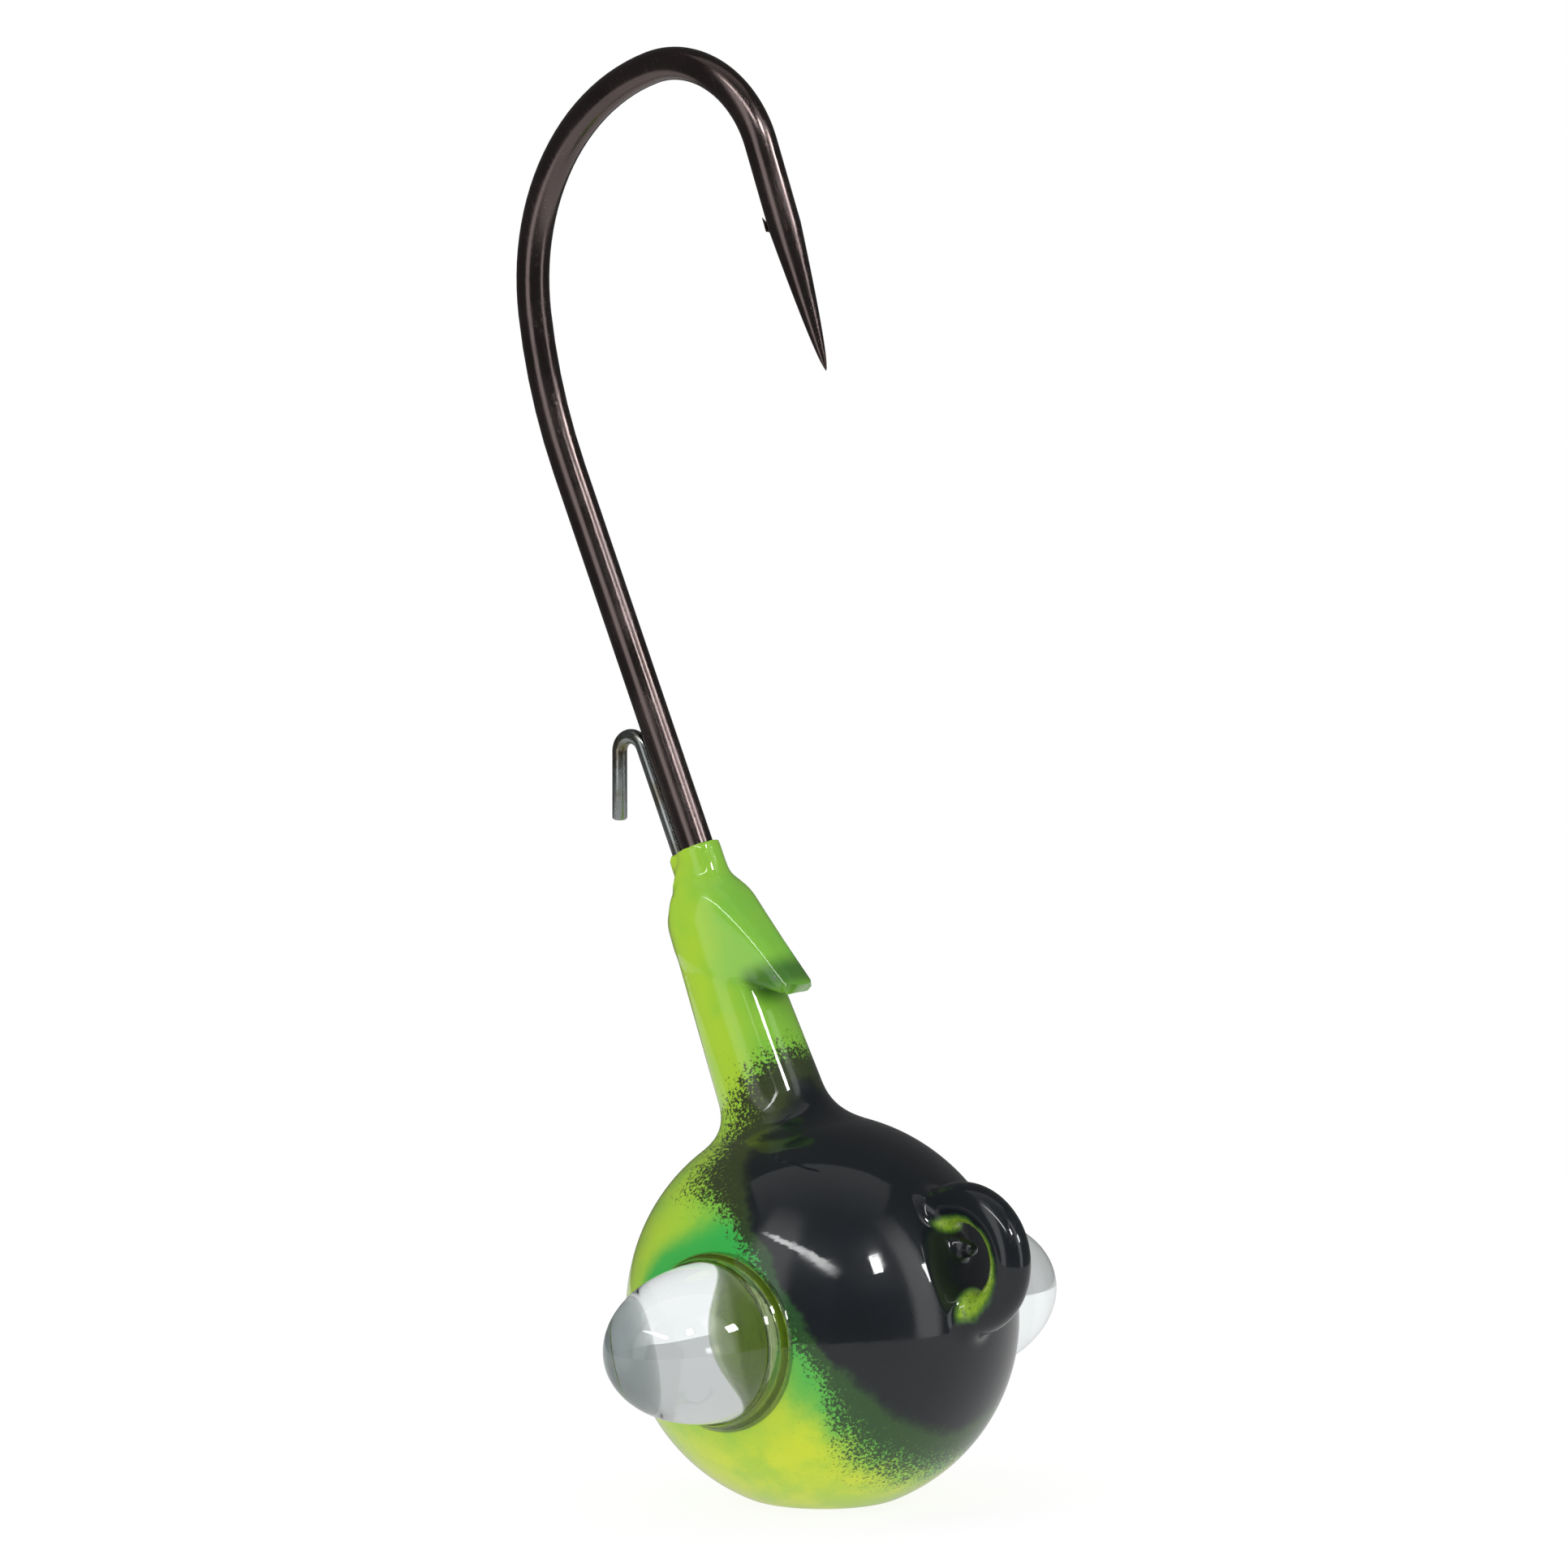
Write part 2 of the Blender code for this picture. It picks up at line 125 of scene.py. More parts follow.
# %% [markdown]
# ## Helpers for materials
#
# Colours are written as sRGB hex, as a colour picker shows them, and Blender's sockets want linear
# light, so one function converts them. A second adds a node with its settings and its links. Patterns
# read Object coordinates, which are metres here, so a noise whose grain is to be g millimetres wide
# has a scale of 1000 / g.

# %% Colours and nodes
def hex_colour(code):
    parts = [int(code[i : i + 2], 16) / 255 for i in (1, 3, 5)]
    linear = [c / 12.92 if c <= 0.04045 else ((c + 0.055) / 1.055) ** 2.4 for c in parts]
    return (*linear, 1.0)


def grain(width_mm):
    return 1000.0 / width_mm


def new_material(name):
    material = bpy.data.materials.new(name)
    material.use_nodes = True
    tree = material.node_tree
    return material, tree, tree.nodes["Principled BSDF"]


def add(tree, kind, links=(), values=(), **settings):
    """A node of that kind. links and values are (socket, source or value) pairs."""
    node = tree.nodes.new("ShaderNode" + kind)
    for name, value in settings.items():
        setattr(node, name, value)
    for socket, value in values:
        node.inputs[socket].default_value = value
    for socket, source in links:
        tree.links.new(source, node.inputs[socket])
    return node


def object_space(tree):
    return add(tree, "TexCoord").outputs["Object"]


def shank_space(tree, stretch=(1.0, 1.0, 1.0)):
    """Object coordinates in the shank's frame, in millimetres, so a pattern can run along it."""
    turn = add(
        tree,
        "Mapping",
        links=[("Vector", object_space(tree))],
        values=[
            ("Location", to_shank.to_translation()),
            ("Rotation", to_shank.to_euler()),
            ("Scale", (1 / MM, 1 / MM, 1 / MM)),
        ],
    )
    return add(
        tree, "Mapping", links=[("Vector", turn.outputs["Vector"])], values=[("Scale", stretch)]
    ).outputs["Vector"]


def noise(tree, where, width_mm, detail=3.0, rough=0.5, in_mm=False):
    scale = 1.0 / width_mm if in_mm else grain(width_mm)
    return add(
        tree,
        "TexNoise",
        links=[("Vector", where)],
        values=[("Scale", scale), ("Detail", detail), ("Roughness", rough)],
    ).outputs["Fac"]


def fade(tree, source, low, high, to_low=0.0, to_high=1.0):
    """source, brought from low..high to to_low..to_high with soft ends."""
    return add(
        tree,
        "MapRange",
        links=[("Value", source)],
        values=[
            ("From Min", low),
            ("From Max", high),
            ("To Min", to_low),
            ("To Max", to_high),
        ],
        interpolation_type="SMOOTHSTEP",
    ).outputs["Result"]


def maths(tree, operation, *terms):
    """The terms are sources or plain numbers."""
    node = add(tree, "Math", operation=operation)
    for i, term in enumerate(terms):
        if isinstance(term, (int, float)):
            node.inputs[i].default_value = term
        else:
            tree.links.new(term, node.inputs[i])
    return node.outputs["Value"]


def blend(tree, factor, a, b):
    """Colour a where factor is 0 and b where it is 1. Each is a hex code or a source."""
    node = add(tree, "Mix", data_type="RGBA", links=[("Factor", factor)])
    for socket, colour in ((6, a), (7, b)):
        if isinstance(colour, str):
            node.inputs[socket].default_value = hex_colour(colour)
        else:
            tree.links.new(colour, node.inputs[socket])
    return node.outputs[2]


def bump(tree, height, strength, distance_mm):
    return add(
        tree,
        "Bump",
        links=[("Height", height)],
        values=[("Strength", strength), ("Distance", distance_mm * MM)],
    ).outputs["Normal"]


def attribute(tree, name):
    return add(tree, "Attribute", attribute_name=name).outputs["Fac"]


# %% [markdown]
# ## The camera and the studio
#
# The view is from the left front, a little above the jig, through a long lens that keeps the wire the
# same thickness all the way. The stage is plain: a lit white board, and soft light from every side for
# the matt colours. Gloss is different. A glossy black cap or a plated wire shows what stands round it,
# and in an all-white room it would look grey. So reflected rays see a dimmer board and a dim room with
# a few light boxes in it. A Light Path node tells the rays apart. Each box is a rectangle of
# directions, made from three dot products.

# %% Camera
view_azimuth = radians(40.0)
view_height = radians(8.7)
frame_width = 47.9  # mm across the picture, at the jig
lens_mm = 1200.0
film_mm = 36.0
right = Vector((cos(view_azimuth), sin(view_azimuth), 0))
back = Vector(
    (
        sin(view_azimuth) * cos(view_height),
        -cos(view_azimuth) * cos(view_height),
        sin(view_height),
    )
)
up = back.cross(right)
aim = Vector((0, 0, ball_height)) + right * -1.2 + up * 16.28
camera = bpy.data.objects.new("camera", bpy.data.cameras.new("camera"))
camera.data.lens = lens_mm
camera.data.sensor_width = film_mm
camera.data.clip_start = 0.01
camera.location = (aim + back * (frame_width * lens_mm / film_mm)) * MM
camera.rotation_euler = Matrix((right, up, back)).transposed().to_euler()
bpy.context.scene.collection.objects.link(camera)
bpy.context.scene.camera = camera
bpy.context.scene.view_settings.view_transform = "Standard"
print("camera at, mm:", [round(v / MM, 1) for v in camera.location])


# %% Lit board
board_radius = 62.0
board_glow = 0.88
gloss_dimming = 0.45
board_form = bmesh.new()
bmesh.ops.create_circle(board_form, cap_ends=True, segments=96, radius=board_radius * MM)
board = to_object("board", board_form, merge=1e-7)
acrylic, tree, shader = new_material("lit_white_acrylic_board")
cloud = noise(tree, object_space(tree), 9.0)
tree.links.new(blend(tree, cloud, "#6A6A6A", "#6E6E6E"), shader.inputs["Base Color"])
shader.inputs["Roughness"].default_value = 0.9
shader.inputs["Specular IOR Level"].default_value = 0.0
shader.inputs["Emission Color"].default_value = hex_colour("#FFFFFF")
bounced = add(tree, "LightPath").outputs["Is Glossy Ray"]
glow = maths(tree, "MULTIPLY_ADD", bounced, -gloss_dimming, board_glow)
tree.links.new(glow, shader.inputs["Emission Strength"])
board.data.materials.append(acrylic)


# %% Light boxes
def from_camera(x, y, z):
    """A unit direction from its parts to the right, up and back towards the camera."""
    return (right * x + up * y + back * z).normalized()


def light_box(tree, centre, along, length, width, radiance, soft=0.2, fall=0.0, taper=0.0):
    """A far rectangle of light. length and width are half its sides, as tangents.

    soft is the share of a side over which its edge fades, fall dims it towards the far end of
    its width, and taper narrows it towards the far end of its length.
    """
    along = (along - centre * along.dot(centre)).normalized()
    across = centre.cross(along)
    way = add(tree, "TexCoord").outputs["Generated"]
    ahead, u, v = (
        add(
            tree, "VectorMath", operation="DOT_PRODUCT", links=[(0, way)], values=[(1, axis)]
        ).outputs["Value"]
        for axis in (centre, along, across)
    )
    ahead_only = fade(tree, ahead, 0.02, 0.1)
    u, v = (maths(tree, "DIVIDE", part, maths(tree, "MAXIMUM", ahead, 0.02)) for part in (u, v))
    off_u = maths(tree, "DIVIDE", maths(tree, "ABSOLUTE", u, 0.0), length)
    off_v = maths(tree, "DIVIDE", maths(tree, "ABSOLUTE", v, 0.0), width)
    off_v = maths(tree, "MULTIPLY_ADD", u, taper / length, off_v)
    mask = maths(tree, "MULTIPLY", fade(tree, off_u, 1, 1 - soft), fade(tree, off_v, 1, 1 - soft))
    mask = maths(tree, "MULTIPLY", mask, ahead_only)
    level = fade(tree, maths(tree, "DIVIDE", v, width), -1, 1, 1 - fall, 1)
    return maths(tree, "MULTIPLY", maths(tree, "MULTIPLY", mask, level), radiance)


world = bpy.data.worlds.new("studio")
world.use_nodes = True
bpy.context.scene.world = world
sky = world.node_tree
sky_light = sky.nodes["Background"]
zenith = Vector((0, 0, 1))
room_glow = 0.09
least_fill, more_from_left = 0.85, 0.3
boxes = [
    light_box(sky, from_camera(0, 0.985, 0.3), right, 0.62, 0.42, 0.4, 0.08, 0.95),
    light_box(
        sky,
        from_camera(-0.19, 0.56, 0.7),
        from_camera(0.17, 0.41, 0.9) - from_camera(-0.55, 0.69, 0.47),
        0.5,
        0.045,
        12.0,
        0.5,
        taper=-0.5,
    ),
    light_box(sky, from_camera(0.506, 0.501, 0.707), zenith, 0.08, 0.05, 42.0, 0.15),
    light_box(sky, from_camera(0.874, 0.383, 0.296), zenith, 0.08, 0.07, 22.0, 0.15),
    light_box(sky, from_camera(-0.61, 0.1, 0.79), zenith, 1.6, 0.33, 1.1, 0.6),
    light_box(sky, from_camera(0.9, 0.1, 0.45), zenith, 1.2, 0.2, 1.3, 0.6),
]
shone = boxes[0]
for box in boxes[1:]:
    shone = maths(sky, "ADD", shone, box)
shone = maths(sky, "ADD", shone, room_glow)
path = add(sky, "LightPath")
from_left = add(
    sky,
    "VectorMath",
    operation="DOT_PRODUCT",
    links=[(0, add(sky, "TexCoord").outputs["Generated"])],
    values=[(1, from_camera(-0.5, 0.75, 0.45))],
).outputs["Value"]
fill = maths(sky, "MULTIPLY_ADD", from_left, more_from_left, least_fill)
strength = maths(sky, "MULTIPLY", path.outputs["Is Glossy Ray"], shone)
strength = maths(sky, "ADD", strength, maths(sky, "MULTIPLY", path.outputs["Is Diffuse Ray"], fill))
seen = maths(sky, "MAXIMUM", path.outputs["Is Camera Ray"], path.outputs["Is Transmission Ray"])
sky_light.inputs["Color"].default_value = hex_colour("#FFFFFF")
sky.links.new(maths(sky, "MAXIMUM", seen, strength), sky_light.inputs["Strength"])
print("light boxes:", len(boxes))

# %% [markdown]
# ## Bending wire
#
# A hook and a keeper are both made on a wire former: the wire is fed straight, then rolled round a
# pin, then fed again. The mesh can be made in the same way. A ring of edges is extruded for each
# straight run and spun round the pin's centre for each bend, which leaves every bend a true arc that
# is tangent to its neighbours. A curve with a bevel would make a tube too, but its bends would be
# points along a line that has to be worked out by hand.

# %% Wire former
class WireFormer:
    """Feeds and bends a round wire in the XZ plane. The heading is in degrees up from +X."""

    def __init__(self, x, z, heading, radius, sides=40):
        self.form = bmesh.new()
        self.place, self.heading, self.radius = Vector((x, 0, z)), heading, radius
        facing = Vector((0, 0, 1)).rotation_difference(self.way()).to_matrix().to_4x4()
        ring = bmesh.ops.create_circle(
            self.form,
            segments=sides,
            radius=radius,
            matrix=Matrix.Translation(self.place) @ facing,
        )
        self.ring = list({edge for vert in ring["verts"] for edge in vert.link_edges})
        self.close()

    def way(self):
        return Vector((cos(radians(self.heading)), 0, sin(radians(self.heading))))

    def close(self):
        bmesh.ops.contextual_create(self.form, geom=self.ring)

    def feed(self, length, share=None):
        """Straight on. share draws the wire down to that part of its full radius."""
        made = bmesh.ops.extrude_edge_only(self.form, edges=self.ring)["geom"]
        verts = [g for g in made if isinstance(g, bmesh.types.BMVert)]
        bmesh.ops.translate(self.form, verts=verts, vec=self.way() * length)
        self.place += self.way() * length
        if share is not None:
            now = (verts[0].co - self.place).length
            ratio = self.radius * share / now
            bmesh.ops.scale(
                self.form,
                verts=verts,
                vec=(ratio, ratio, ratio),
                space=Matrix.Translation(-self.place),
            )
        fresh = set(verts)
        self.ring = [
            g
            for g in made
            if isinstance(g, bmesh.types.BMEdge) and fresh.issuperset(g.verts)
        ]

    def bend(self, pin_radius, turn, step=4.0):
        """Round a pin: turn is in degrees, positive to the left as seen with +X right and +Z up."""
        side = 1 if turn > 0 else -1
        across = Vector((-self.way().z, 0, self.way().x)) * side
        pin = self.place + across * pin_radius
        made = bmesh.ops.spin(
            self.form,
            geom=self.ring,
            cent=pin,
            axis=(0, -1, 0),
            angle=radians(turn),
            steps=max(3, round(abs(turn) / step)),
        )["geom_last"]
        self.ring = [g for g in made if isinstance(g, bmesh.types.BMEdge)]
        self.place = pin + Matrix.Rotation(radians(turn), 3, (0, -1, 0)) @ (self.place - pin)
        self.heading += turn


# %% [markdown]
# ## The hook
#
# One length of 1 mm high-carbon wire, black-nickel plated: a round line eye, a short leg, a right-angle
# bend inside the ball, the straight shank, a round bend, and a ground point with a small barb sliced up
# from its inner side. Three arcs of shrinking radius make the bend, because a hook is rolled round a cam
# and not round a plain pin. The point is drawn down along a power curve, full near its root and fine at
# its tip. The barb is a thin splinter, made apart and joined with a Boolean.

# %% Hook
wire_radius = 0.508
shank_x = 1.28
shank_end = 27.17
eyelet_radius = 1.75
eyelet_sweep = 311.0
swan_radius = 1.2
elbow_radius = 1.6
bend_arcs = ((17.07, 16.4), (7.45, 77.2), (3.35, 90.0))
spear_length = 7.26
point_length = 4.6

meeting = degrees(asin(swan_radius / (swan_radius + eyelet_radius)))
leg_start = eyelet.x - sqrt(eyelet_radius**2 + 2 * swan_radius * eyelet_radius)
free_end = 180 - meeting - eyelet_sweep
former = WireFormer(
    eyelet.x + eyelet_radius * cos(radians(free_end)),
    eyelet.z + eyelet_radius * sin(radians(free_end)),
    free_end + 90,
    wire_radius,
)
former.bend(eyelet_radius, eyelet_sweep)
former.bend(swan_radius, meeting - 90)
former.feed(leg_start - shank_x - elbow_radius)
former.bend(elbow_radius, -90)
former.feed(shank_end - former.place.z)
for pin_radius, turn in bend_arcs:
    former.bend(pin_radius, -turn, step=3.0)
former.feed(spear_length - point_length)
point_steps = 16
for i in range(1, point_steps + 1):
    left = (1 - i / point_steps) ** 1.4
    before = (1 - (i - 1) / point_steps) ** 1.4
    former.feed(point_length * (before - left), max(0.02, left**0.62))
former.close()
spear_x = former.place.x
point_z = former.place.z
hook = to_object("plated_hook", former.form)
print(f"point at {spear_x:.2f}, {point_z:.2f} mm from the ball's centre")

# %% Barb of the hook
inner = spear_x - wire_radius
barb_form = bmesh.new()
splinter = bmesh.ops.create_cone(
    barb_form, cap_ends=True, segments=3, radius1=0.2, radius2=0.03, depth=0.5
)["verts"]
bmesh.ops.rotate(barb_form, verts=splinter, matrix=Matrix.Rotation(pi, 3, "Z"))
bmesh.ops.scale(barb_form, verts=splinter, vec=(0.6, 1.0, 1.0))
bmesh.ops.rotate(barb_form, verts=splinter, matrix=Matrix.Rotation(radians(-13), 3, "Y"))
bmesh.ops.translate(barb_form, verts=splinter, vec=(inner + 0.11, 0, point_z + 4.88))
bmesh.ops.bevel(
    barb_form,
    geom=barb_form.edges[:],
    offset=0.02,
    segments=1,
    profile=0.5,
    affect="EDGES",
    material=-1,
)
barb = to_object("barb", barb_form, merge=1e-5)
union = hook.modifiers.new("barb", "BOOLEAN")
union.operation = "UNION"
union.object = barb
applied(hook)
bpy.data.objects.remove(barb)

# %% [markdown]
# Black nickel is a thin, dark, slightly warm plating. It is a metal, so its base colour is its
# reflection: dark where the room is dark, and a soft grey streak where a light box stands. Drawing the
# wire leaves faint lines along it, which break the streak's edges, and handling leaves the roughness
# uneven. The lines are a noise stretched eighty times along the shank.

# %% Black nickel plating
nickel, tree, shader = new_material("black_nickel_plating")
lines = noise(tree, shank_space(tree, (1, 1, 0.0125)), 0.07, detail=2.0, in_mm=True)
clouds = noise(tree, object_space(tree), 2.2)
pits = noise(tree, object_space(tree), 0.12, detail=4.0)
tree.links.new(blend(tree, clouds, "#5E5352", "#7A6D6B"), shader.inputs["Base Color"])
worn = fade(tree, clouds, 0.3, 0.7, 0.14, 0.24)
drawn = fade(tree, lines, 0.45, 0.8, 0.0, 0.12)
uneven = maths(tree, "ADD", worn, drawn)
tree.links.new(uneven, shader.inputs["Roughness"])
relief = maths(tree, "ADD", lines, maths(tree, "MULTIPLY", pits, 0.5))
tree.links.new(bump(tree, relief, 0.03, 0.01), shader.inputs["Normal"])
shader.inputs["Metallic"].default_value = 1.0
finish(hook, nickel, "black_nickel_steel", "hook", sharp=50)

# %% [markdown]
# ## The keeper wire
#
# A thin bright wire runs up the shank from inside the collar and curls back on itself, so that a soft
# bait pushed over it can't slide off again. It is bent on the same former, and its cut end is slightly
# rounded by tumbling, so the last ring is drawn in.

# %% Keeper wire
keeper_radius = 0.23
keeper_root = 5.0
keeper_curl_z = 18.35
keeper_curl = 0.5
keeper_turn = 155.4
keeper_leg = 2.12
keeper_x = shank_x - wire_radius - keeper_radius - 0.03
former = WireFormer(keeper_x, keeper_root, 90, keeper_radius, sides=24)
former.feed(keeper_curl_z - keeper_root)
former.bend(keeper_curl, keeper_turn, step=6.0)
former.feed(keeper_leg - 0.07)
former.feed(0.04, 0.93)
former.feed(0.03, 0.75)
former.close()
keeper = to_object("keeper", former.form)

# %% Bright drawn wire
bright, tree, shader = new_material("bright_drawn_wire")
lines = noise(tree, shank_space(tree, (1, 1, 0.02)), 0.05, detail=2.0, in_mm=True)
stain = fade(tree, noise(tree, object_space(tree), 1.1, detail=4.0), 0.5, 0.75)
tree.links.new(blend(tree, stain, "#A3A9A8", "#7D7460"), shader.inputs["Base Color"])
tree.links.new(fade(tree, lines, 0.3, 0.8, 0.16, 0.34), shader.inputs["Roughness"])
tree.links.new(bump(tree, lines, 0.2, 0.006), shader.inputs["Normal"])
shader.inputs["Metallic"].default_value = 1.0
finish(keeper, bright, "tinned_wire", "keeper_wire", sharp=50)

# %% [markdown]
# ## The painted head: a cage
#
# Under the paint the head is a casting whose forms run into each other with soft fillets, and the
# dipped paint softens them more. No single primitive has that shape, so it is made in two steps. First
# a rough cage is put together from plain turned and hulled shells, one for each form. A Remesh modifier
# in voxel mode then wraps all of them in one even skin of small quads.

# %% Shells of the cage
eye_axis = (0.24, -0.16)  # x and z of the line through both eyes
socket_radius = 2.62
socket_floor = 2.4
collar_x = 0.87
collar_foot, collar_shoulder = 1.66, 1.33  # radii at the ball and below the shoulder
shoulder_z, collar_top = 12.5, 13.55
sleeve_radius, keeper_sleeve = 0.65, 0.3
sleeve_end = 14.83
crown = 1.05  # the ball is a little longer towards its neck
barb_tip, barb_crest, barb_root = (2.99, 10.03), (2.1, 12.35), (1.2, 11.3)
barb_widths = (0.5, 0.45, 0.85)
barb_rounding = 0.37
ring_thickness = 0.63
gate_pocket, gate_depth = 1.68, 0.12  # the hole that a trimmed gate would leave in the paint


def shell(form, verts, x=0.0, z=0.0, turn=0.0):
    bmesh.ops.rotate(form, verts=verts, matrix=Matrix.Rotation(turn, 3, "X"))
    bmesh.ops.translate(form, verts=verts, vec=(x, 0, z))


def tube_shell(form, x, low, high, foot_radius, top_radius, segments=48):
    verts = bmesh.ops.create_cone(
        form, cap_ends=True, segments=segments, radius1=foot_radius, radius2=top_radius, depth=high - low
    )["verts"]
    shell(form, verts, x, (low + high) / 2)


def absorb(form, part):
    """Adds the closed shell part to form, with its faces outwards."""
    bmesh.ops.recalc_face_normals(part, faces=part.faces[:])
    mesh = bpy.data.meshes.new("shell")
    part.to_mesh(mesh)
    part.free()
    form.from_mesh(mesh)
    bpy.data.meshes.remove(mesh)


def barb_shell(form):
    """The hull of small balls at the corners of a wedge."""
    part = bmesh.new()
    for (x, z), half_width in zip((barb_tip, barb_crest, barb_root), barb_widths):
        for side in (-1, 1):
            made = bmesh.ops.create_icosphere(part, subdivisions=2, radius=barb_rounding)["verts"]
            bmesh.ops.translate(part, verts=made, vec=(x, side * half_width, z))
    bmesh.ops.delete(part, geom=part.faces[:], context="FACES_ONLY")
    bmesh.ops.delete(part, geom=part.edges[:], context="EDGES_FACES")
    hull = bmesh.ops.convex_hull(part, input=part.verts[:])
    inside = [v for v in hull["geom_interior"] if isinstance(v, bmesh.types.BMVert)]
    bmesh.ops.delete(part, geom=inside, context="VERTS")
    absorb(form, part)


def ring_shell(form):
    """A torus: a circle across the wire, spun round the line eye's centre."""
    part = bmesh.new()
    start = Matrix.Translation((eyelet.x + eyelet_radius, 0, eyelet.z))
    circle = bmesh.ops.create_circle(part, segments=24, radius=ring_thickness, matrix=start)["verts"]
    edges = list({edge for vert in circle for edge in vert.link_edges})
    bmesh.ops.spin(
        part,
        geom=edges,
        cent=(eyelet.x, 0, eyelet.z),
        axis=(0, 1, 0),
        angle=2 * pi,
        steps=64,
        use_merge=True,
    )
    absorb(form, part)


# %% Ball with its sockets
ball_form = bmesh.new()
bmesh.ops.create_uvsphere(ball_form, u_segments=96, v_segments=64, radius=ball_radius)
shell(ball_form, ball_form.verts[:], turn=pi / 2)
for vert in ball_form.verts:
    vert.co.z *= crown if vert.co.z > 0 else 1.0
head = to_object("painted_head", ball_form)
cutters = []
depth = 4.0
for side in (-1, 1):
    form = bmesh.new()
    plug = bmesh.ops.create_cone(
        form, cap_ends=True, segments=64, radius1=socket_radius, radius2=socket_radius, depth=depth
    )["verts"]
    shell(form, plug, eye_axis[0], eye_axis[1], pi / 2)
    bmesh.ops.translate(form, verts=plug, vec=(0, side * (socket_floor + depth / 2), 0))
    cutter = to_object("socket", form)
    cut = head.modifiers.new("socket", "BOOLEAN")
    cut.operation = "DIFFERENCE"
    cut.object = cutter
    cutters.append(cutter)
applied(head)
for cutter in cutters:
    bpy.data.objects.remove(cutter)
print("ball and sockets:", len(head.data.polygons), "faces")

# %% Wrap the shells
voxel_mm = 0.085
form = bmesh.new()
form.from_mesh(head.data)
tube_shell(form, collar_x, 3.0, shoulder_z + 0.6, collar_foot + 0.1, collar_shoulder)
tube_shell(form, collar_x, 4.5, 6.6, 2.9, collar_foot)
tube_shell(form, shank_x, 12.0, sleeve_end, sleeve_radius, sleeve_radius, 24)
tube_shell(form, keeper_x, 12.0, sleeve_end - 0.1, keeper_sleeve, keeper_sleeve, 16)
barb_shell(form)
ring_shell(form)
drop = bmesh.ops.create_icosphere(form, subdivisions=2, radius=0.3)["verts"]
shell(form, drop, 6.3, 0.1)
form.to_mesh(head.data)
form.free()
wrap = head.modifiers.new("wrap", "REMESH")
wrap.mode = "VOXEL"
wrap.voxel_size = voxel_mm
wrap.adaptivity = 0.0
applied(head)
print("wrapped head:", len(head.data.polygons), "faces")

# %% [markdown]
# ## The painted head: its true form
#
# A voxel skin has tiny steps, and gloss paint would show every one. So each point is now moved on to
# the exact surface. The head is written as a distance field: one small formula gives how far a point is
# from each form, and a smooth minimum joins two distances with a fillet between them. A few Newton
# steps along the field's slope bring every point to where the distance is zero, and the fillets, the
# rounded socket rims and the trimmed nose come out as smooth as the formula is.

# %% Distance fields
def joined(a, b, fillet):
    h = np.clip(0.5 + 0.5 * (b - a) / fillet, 0, 1)
    return b * (1 - h) + a * h - fillet * h * (1 - h)


def common(a, b, rounding):
    return -joined(-a, -b, rounding)


def ball_field(x, y, z):
    return np.sqrt(x**2 + y**2 + np.where(z > 0, z / crown, z) ** 2) - ball_radius


def collar_field(x, y, z):
    share = (z - ball_radius) / (shoulder_z - ball_radius)
    radius = collar_foot + (collar_shoulder - collar_foot) * share
    side = np.hypot(x - collar_x, y) - radius
    return common(common(side, z - collar_top, 1.0), 3.0 - z, 0.1)


def sleeve_field(x, y, z):
    wires = joined(
        np.hypot(x - shank_x, y) - sleeve_radius,
        np.hypot(x - keeper_x, y) - keeper_sleeve,
        0.12,
    )
    return common(common(wires, z - sleeve_end, 0.07), 11.5 - z, 0.1)


def barb_fields(x, y, z):
    """The barb's wedge without its underside, and the slanting plane of that underside."""
    upper = (x - barb_crest[0]) * 0.934 + (z - barb_crest[1]) * 0.358 - barb_rounding - 0.04
    slope = (x - 2.3) * 0.62 + (z - 12.95) * 0.785
    width = 0.98 - 0.12 * (x - 1.2)
    wedge = common(common(upper, slope, 0.8), np.abs(y) - width, 0.6)
    under = (x - barb_tip[0]) * -0.5786 + (z - barb_tip[1]) * -0.8155 - barb_rounding
    return common(wedge, 0.6 - x, 0.4), under


def ring_field(x, y, z):
    out = np.hypot(x - eyelet.x, z - eyelet.z)
    return np.hypot(out - eyelet_radius, y) - ring_thickness


def web_field(x, y, z):
    """A drop of paint that stayed in the line eye, on a short film from the ball."""
    start, end = Vector((5.2, 0.1, 1.1)), Vector((6.4, 0.05, 0.05))
    run = end - start
    share = ((x - start.x) * run.x + (y - start.y) * run.y + (z - start.z) * run.z) / run.length**2
    share = np.clip(share, 0, 1)
    off = (x - start.x - share * run.x, y - start.y - share * run.y, z - start.z - share * run.z)
    return np.sqrt(off[0] ** 2 + off[1] ** 2 + off[2] ** 2) - 0.24


def head_field(points):
    x, y, z = points.T
    collar = joined(collar_field(x, y, z), sleeve_field(x, y, z), 0.4)
    barb, under = barb_fields(x, y, z)
    barb = common(joined(collar, barb, 0.7), under, 0.3)
    body = joined(collar, barb, 0.12)
    body = joined(ball_field(x, y, z), body, 0.9)
    body = joined(body, joined(ring_field(x, y, z), web_field(x, y, z), 0.3), 0.5)
    to_eye = np.hypot(x - eye_axis[0], z - eye_axis[1])
    socket = np.maximum(to_eye - socket_radius, socket_floor - np.abs(y))
    body = common(body, -socket, 0.12)
    ground = ball_height + x * sin(lean) + z * cos(lean)
    from_gate = np.hypot(x * cos(lean) - z * sin(lean), y)
    gate = np.maximum(from_gate - gate_pocket, ground - gate_depth)
    return common(common(body, -ground, 0.15), -gate, 0.03)


# %% Move the skin on to the form
def mesh_points(mesh):
    flat = np.empty(len(mesh.vertices) * 3)
    mesh.vertices.foreach_get("co", flat)
    return flat.reshape(-1, 3)


